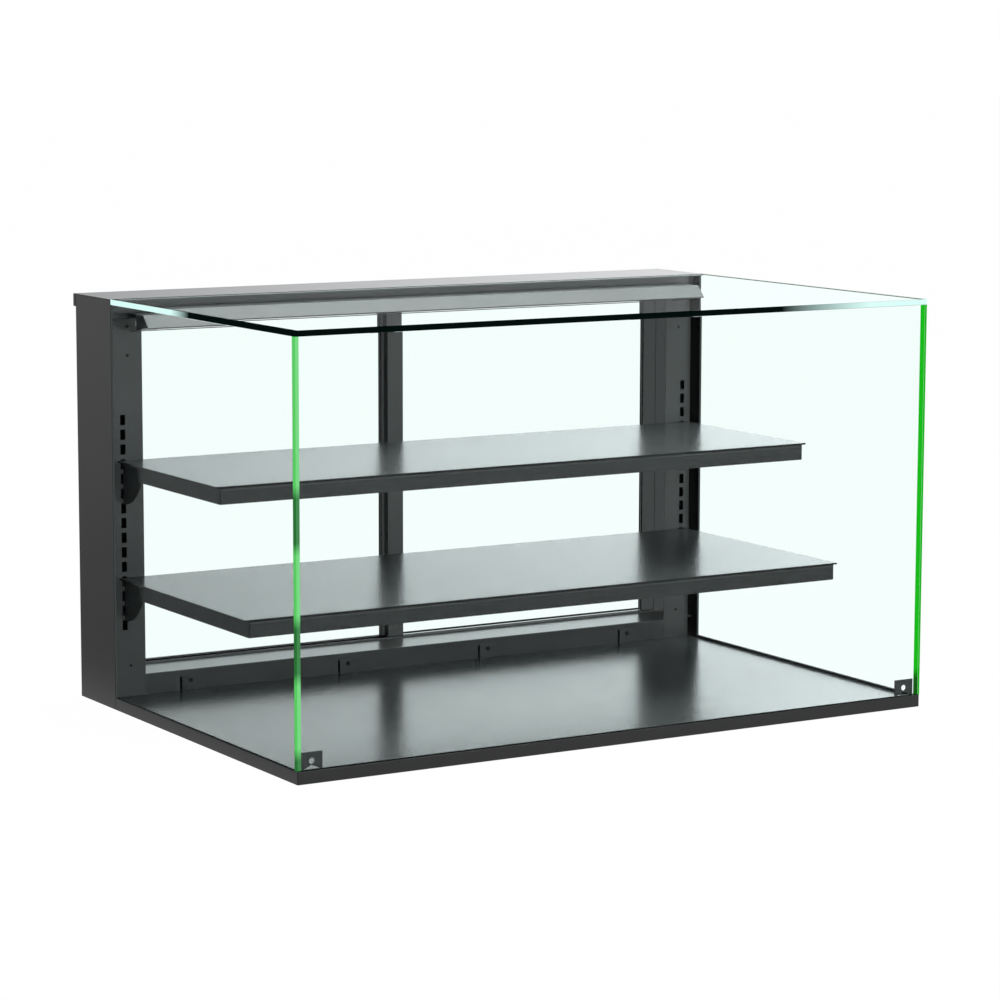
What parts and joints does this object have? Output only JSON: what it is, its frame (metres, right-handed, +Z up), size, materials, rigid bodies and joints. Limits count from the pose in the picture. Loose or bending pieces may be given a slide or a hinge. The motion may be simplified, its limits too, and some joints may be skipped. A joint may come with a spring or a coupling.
{
  "type": "bakery display case",
  "caption": "Countertop bakery display case: glass box on a shallow black tray, rear steel housing with light hood, slotted standards, two shelves and bypass sliding doors.",
  "frame": {"origin": "bottom centre of the bounding box, on the plane the rubber feet stand on", "axes": "+Z up, -Y is the customer's side with the front glass, +Y the server's side with the sliding doors, +X to the right seen from the front"},
  "size_m": [1.213, 0.828, 0.708],
  "materials": {
    "black_anodised": "satin black anodised",
    "black_powder_coat": "satin black powder coat",
    "black_screw": "black oxide",
    "black_shelf_coat": "semi-gloss black powder coat",
    "clear_glass": "polished clear float glass with a green edge",
    "contact_brass": "plated",
    "door_glass": "polished clear float glass",
    "driver_plastic": "white potted case",
    "foot_rubber": "matt black",
    "frosted_plastic": "frosted opal",
    "gasket_rubber": "matt grey-black glazing strip",
    "inlet_plastic": "black",
    "led_aluminium": "satin anodised",
    "led_board": "white solder mask",
    "nylon": "black nylon",
    "rocker_plastic": "black",
    "white_plastic": "satin white"
  },
  "bodies": {
    "cabinet": {"base_deck": "black_powder_coat", "base_rail_front": "black_powder_coat", "base_rail_left": "black_powder_coat", "base_rail_right": "black_powder_coat", "cover_screws": "black_screw", "deck_upstands": "black_powder_coat", "door_bumpers": "foot_rubber", "door_jamb_left": "black_anodised", "door_jamb_right": "black_anodised", "door_track_lower": "black_anodised", "door_track_upper": "black_anodised", "glass_clip_left": "black_powder_coat", "glass_clip_right": "black_powder_coat", "glass_front": "clear_glass", "glass_ledge": "black_powder_coat", "glass_left": "clear_glass", "glass_right": "clear_glass", "glass_top": "clear_glass", "glazing_gasket": "gasket_rubber", "header_channel": "black_powder_coat", "hood_end_cap_left": "black_powder_coat", "hood_end_cap_right": "black_powder_coat", "inlet_pins": "contact_brass", "led_board": "led_board", "led_channel": "led_aluminium", "led_clips": "led_aluminium", "led_diffuser": "frosted_plastic", "led_driver": "driver_plastic", "led_end_caps": "white_plastic", "light_hood": "black_powder_coat", "power_inlet": "inlet_plastic", "rear_cover": "black_powder_coat", "rear_post_left": "black_powder_coat", "rear_post_right": "black_powder_coat", "rear_sill": "black_powder_coat", "rubber_feet": "foot_rubber", "shelf_standard_left": "black_powder_coat", "shelf_standard_right": "black_powder_coat", "sill_screws": "black_screw", "switch_body": "inlet_plastic", "top_cap": "black_powder_coat"},
    "rear_door_inner": {"inner_door_glass": "door_glass", "inner_door_glides": "nylon", "inner_door_stile_left": "black_anodised", "inner_door_stile_right": "black_anodised"},
    "rear_door_outer": {"outer_door_glass": "door_glass", "outer_door_glides": "nylon", "outer_door_stile_left": "black_anodised", "outer_door_stile_right": "black_anodised"},
    "upper_brackets": {"upper_bracket_left": "black_shelf_coat", "upper_bracket_right": "black_shelf_coat"},
    "upper_shelf": {"upper_shelf_panel": "black_shelf_coat"},
    "lower_brackets": {"lower_bracket_left": "black_shelf_coat", "lower_bracket_right": "black_shelf_coat"},
    "lower_shelf": {"lower_shelf_panel": "black_shelf_coat"},
    "light_rocker": {"switch_rocker": "rocker_plastic"}
  },
  "joints": [
    {"name": "inner_door_slide", "type": "slide", "parent": "cabinet", "child": "rear_door_inner", "axis": [-1, 0, 0], "range_m": [0, 0.5575]},
    {"name": "outer_door_slide", "type": "slide", "parent": "cabinet", "child": "rear_door_outer", "axis": [1, 0, 0], "range_m": [0, 0.5575]},
    {"name": "upper_brackets_unhook", "type": "slide", "parent": "cabinet", "child": "upper_brackets", "axis": [0, 0, 1], "range_m": [0, 0.0065]},
    {"name": "upper_shelf_lift", "type": "slide", "parent": "upper_brackets", "child": "upper_shelf", "axis": [0, 0, 1], "range_m": [0, 0.06]},
    {"name": "lower_brackets_unhook", "type": "slide", "parent": "cabinet", "child": "lower_brackets", "axis": [0, 0, 1], "range_m": [0, 0.0065]},
    {"name": "lower_shelf_lift", "type": "slide", "parent": "lower_brackets", "child": "lower_shelf", "axis": [0, 0, 1], "range_m": [0, 0.06]},
    {"name": "light_rocker_turn", "type": "hinge", "parent": "cabinet", "child": "light_rocker", "pos_m": [0.37, 0.402, 0.0292], "axis": [1, 0, 0], "range_deg": [-16, 0]}
  ]
}
